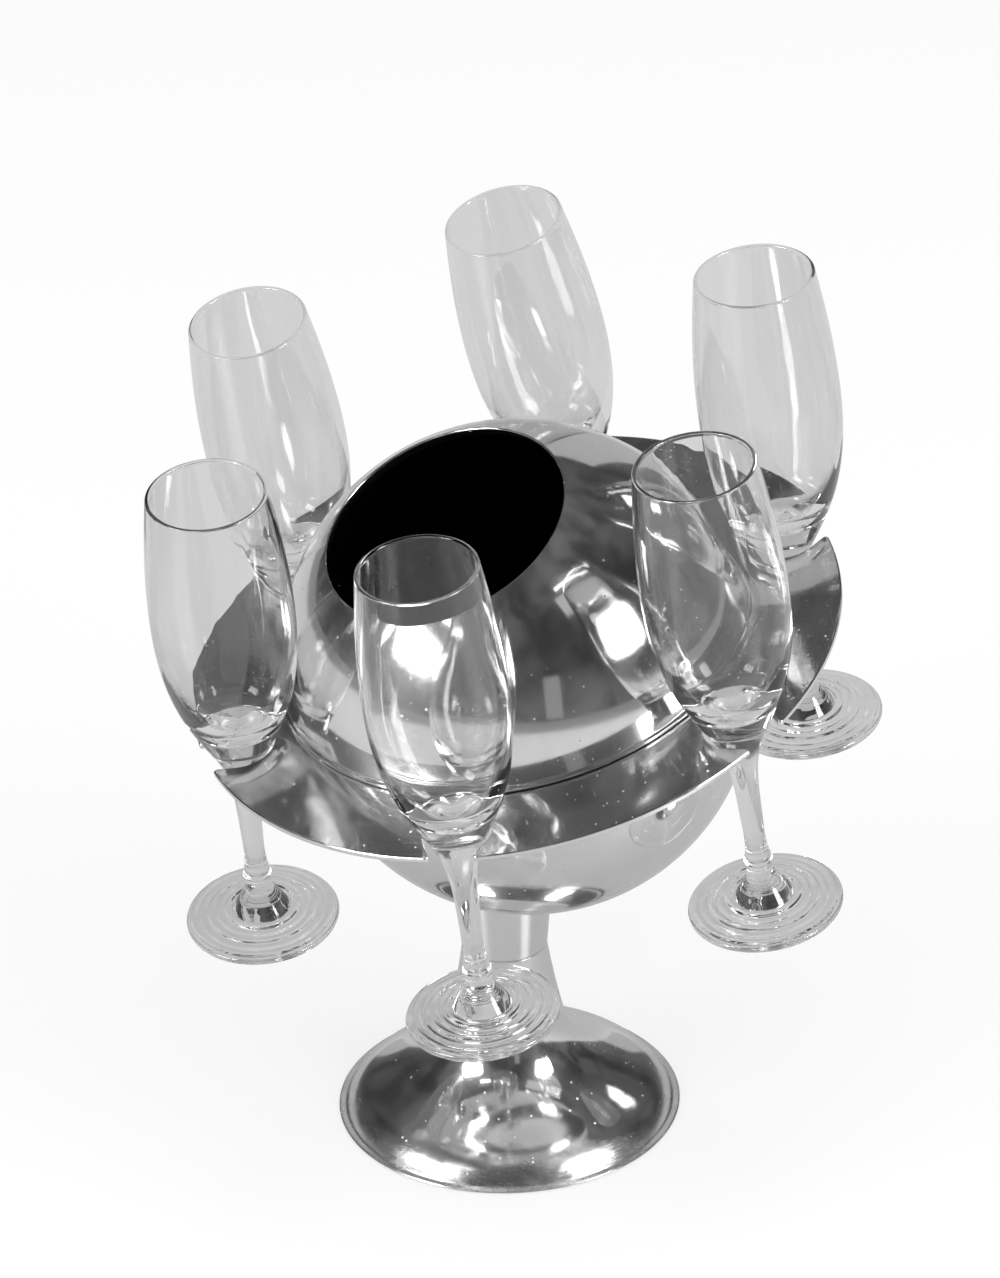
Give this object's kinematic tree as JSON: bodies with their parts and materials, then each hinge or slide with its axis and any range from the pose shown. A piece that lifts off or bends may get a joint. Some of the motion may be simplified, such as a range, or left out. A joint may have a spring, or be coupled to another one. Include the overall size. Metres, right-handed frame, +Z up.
{
  "type": "champagne bucket stand",
  "caption": "Leaning capsule-shaped champagne bucket of polished aluminium on a trumpet pedestal, with a flat ring round its waist whose open notches hold hanging glass flutes",
  "frame": {"origin": "centre of the floor pad's underside, on the pedestal's axis, at floor level", "axes": "+Z up; the bucket and its mouth lean toward -Y, the front; +X to the right when looking along +Y"},
  "size_m": [0.3022, 0.3001, 0.3713],
  "materials": {
    "polished_aluminium": "mirror polished, with fine scratches",
    "black_lining": "dead matt black",
    "ballast_iron": "painted casting",
    "pad_rubber": "matt",
    "zinc_steel": "zinc plated",
    "glide_nylon": "smooth natural nylon",
    "clear_glass": "clear, fire-polished rim"
  },
  "bodies": {
    "stand": {"pedestal_foot": "polished_aluminium", "ballast_disc": "ballast_iron", "floor_pad": "pad_rubber", "tie_rod": "zinc_steel", "lower_washer": "zinc_steel", "lower_nut": "zinc_steel", "neck_collar": "polished_aluminium", "collar_gasket": "pad_rubber", "lower_bowl": "polished_aluminium", "saddle_washer": "zinc_steel", "upper_nut": "zinc_steel", "bowl_liner": "black_lining", "floor_plate": "black_lining", "ring_glide": "glide_nylon", "dome": "polished_aluminium", "dome_liner": "black_lining", "dome_seal": "pad_rubber"},
    "ring": {"glass_ring": "polished_aluminium"},
    "flute_1": {"flute_1": "clear_glass"},
    "flute_2": {"flute_2": "clear_glass"},
    "flute_3": {"flute_3": "clear_glass"},
    "flute_4": {"flute_4": "clear_glass"},
    "flute_5": {"flute_5": "clear_glass"},
    "flute_6": {"flute_6": "clear_glass"}
  },
  "joints": [
    {"name": "ring_turn", "type": "hinge", "parent": "stand", "child": "ring", "pos_m": [0, 0.01002, 0.21791], "axis": [0, -0.2334, 0.9724], "continuous": true},
    {"name": "flute_1_lift_out", "type": "slide", "parent": "ring", "child": "flute_1", "axis": [0.3648, -0.6216, 0.6932], "range_m": [0, 0.105]},
    {"name": "flute_2_lift_out", "type": "slide", "parent": "ring", "child": "flute_2", "axis": [0.5657, -0.0992, 0.8186], "range_m": [0, 0.105]},
    {"name": "flute_3_lift_out", "type": "slide", "parent": "ring", "child": "flute_3", "axis": [0.2009, 0.3312, 0.9219], "range_m": [0, 0.105]},
    {"name": "flute_4_lift_out", "type": "slide", "parent": "ring", "child": "flute_4", "axis": [-0.3648, 0.2391, 0.8998], "range_m": [0, 0.105]},
    {"name": "flute_5_lift_out", "type": "slide", "parent": "ring", "child": "flute_5", "axis": [-0.5657, -0.2833, 0.7744], "range_m": [0, 0.105]},
    {"name": "flute_6_lift_out", "type": "slide", "parent": "ring", "child": "flute_6", "axis": [-0.2009, -0.7136, 0.6711], "range_m": [0, 0.105]}
  ]
}
